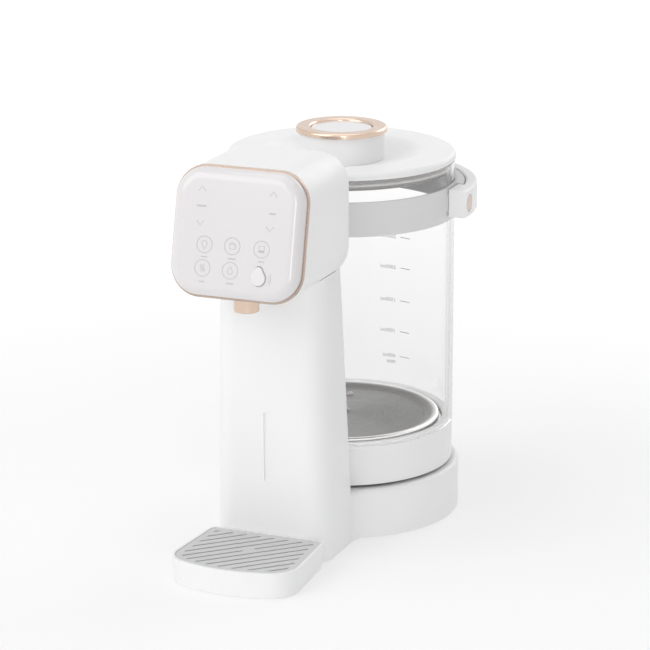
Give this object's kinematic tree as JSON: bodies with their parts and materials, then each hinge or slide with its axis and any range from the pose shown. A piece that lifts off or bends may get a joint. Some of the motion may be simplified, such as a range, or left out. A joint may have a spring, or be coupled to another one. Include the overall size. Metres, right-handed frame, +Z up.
{
  "type": "formula water dispenser",
  "caption": "Countertop water dispenser for baby formula: round heated base, tapered column, rounded head with touch panel and spout, drip tray, lidded glass jug with bail handle.",
  "frame": {"origin": "on the table, under the middle of the object's bounding box", "axes": "+X to the right of someone facing the panel, +Y to the back, towards the jug, +Z up"},
  "size_m": [0.195, 0.316, 0.2901],
  "materials": {
    "white_body": "satin white",
    "panel_white": "high gloss white",
    "rose_gold": "polished rose-gold plating",
    "steel": "satin stainless steel",
    "clear_glass": "clear",
    "grey_plastic": "light grey",
    "dark_plastic": "dark grey",
    "soft_rubber": "translucent silicone",
    "dark_rubber": "dark grey",
    "board_green": "solder mask",
    "zinc_screw": "zinc plated",
    "cast_aluminium": "as cast"
  },
  "bodies": {
    "stand": {"base_housing": "white_body", "base_cover": "white_body", "rubber_feet": "dark_rubber", "cover_screws": "zinc_screw", "column_rear_cover": "white_body", "cord_gland": "grey_plastic", "head_shell": "white_body", "head_screws": "zinc_screw", "panel_rim": "rose_gold", "touch_panel": "panel_white", "control_board": "board_green", "board_screws": "zinc_screw", "display_module": "dark_plastic", "button_switch": "dark_plastic", "button_spring": "zinc_screw", "spout": "rose_gold", "pump_head": "dark_plastic", "pump_motor": "zinc_screw", "water_nozzle": "grey_plastic", "nozzle_o_ring": "dark_rubber", "inlet_hose": "soft_rubber", "riser_hose": "soft_rubber", "power_socket": "dark_plastic", "power_board": "board_green", "power_board_screws": "zinc_screw"},
    "button": {"dispense_button": "panel_white"},
    "tray": {"drip_tray": "white_body"},
    "grille": {"drip_grille": "grey_plastic"},
    "jug": {"jug_ring": "white_body", "jug_glass": "clear_glass", "collar": "white_body", "pivot_screws": "zinc_screw", "jug_bottom_cover": "dark_plastic", "jug_screws": "zinc_screw", "heating_plate": "steel", "plate_seal": "dark_rubber", "temperature_probe": "steel", "heat_spreader": "cast_aluminium", "heating_element": "cast_aluminium", "jug_connector": "dark_plastic", "valve_housing": "grey_plastic", "valve_spring": "zinc_screw", "valve_cap": "grey_plastic", "valve_gasket": "soft_rubber"},
    "handle": {"bail_handle": "white_body", "pivot_caps": "rose_gold"},
    "valve": {"valve_poppet": "soft_rubber"},
    "lid": {"lid_shell": "white_body", "lid_plug": "steel", "lid_seal": "soft_rubber", "lid_knob": "white_body", "knob_ring": "rose_gold", "knob_disc": "panel_white", "knob_screw": "zinc_screw"}
  },
  "joints": [
    {"name": "jug_lift", "type": "slide", "parent": "stand", "child": "jug", "axis": [0, 0, 1], "range_m": [0, 0.26]},
    {"name": "lid_lift", "type": "slide", "parent": "jug", "child": "lid", "axis": [0, 0, 1], "range_m": [0, 0.05]},
    {"name": "handle_swing", "type": "hinge", "parent": "jug", "child": "handle", "pos_m": [0, 0.0605, 0.2355], "axis": [-1, 0, 0], "range_deg": [-90, 0]},
    {"name": "valve_open", "type": "slide", "parent": "jug", "child": "valve", "axis": [0, 0, 1], "range_m": [0, 0.003], "stiffness_N_per_m": 300, "springref_m": -0.001, "deforming": ["valve_spring"]},
    {"name": "tray_slide", "type": "slide", "parent": "stand", "child": "tray", "axis": [0, -1, 0], "range_m": [0, 0.1]},
    {"name": "grille_lift", "type": "slide", "parent": "tray", "child": "grille", "axis": [0, 0, 1], "range_m": [0, 0.08]},
    {"name": "button_press", "type": "slide", "parent": "stand", "child": "button", "axis": [0, 0.9763, -0.2164], "range_m": [0, 0.0012], "stiffness_N_per_m": 400, "springref_m": -0.0005, "deforming": ["button_spring"]}
  ]
}
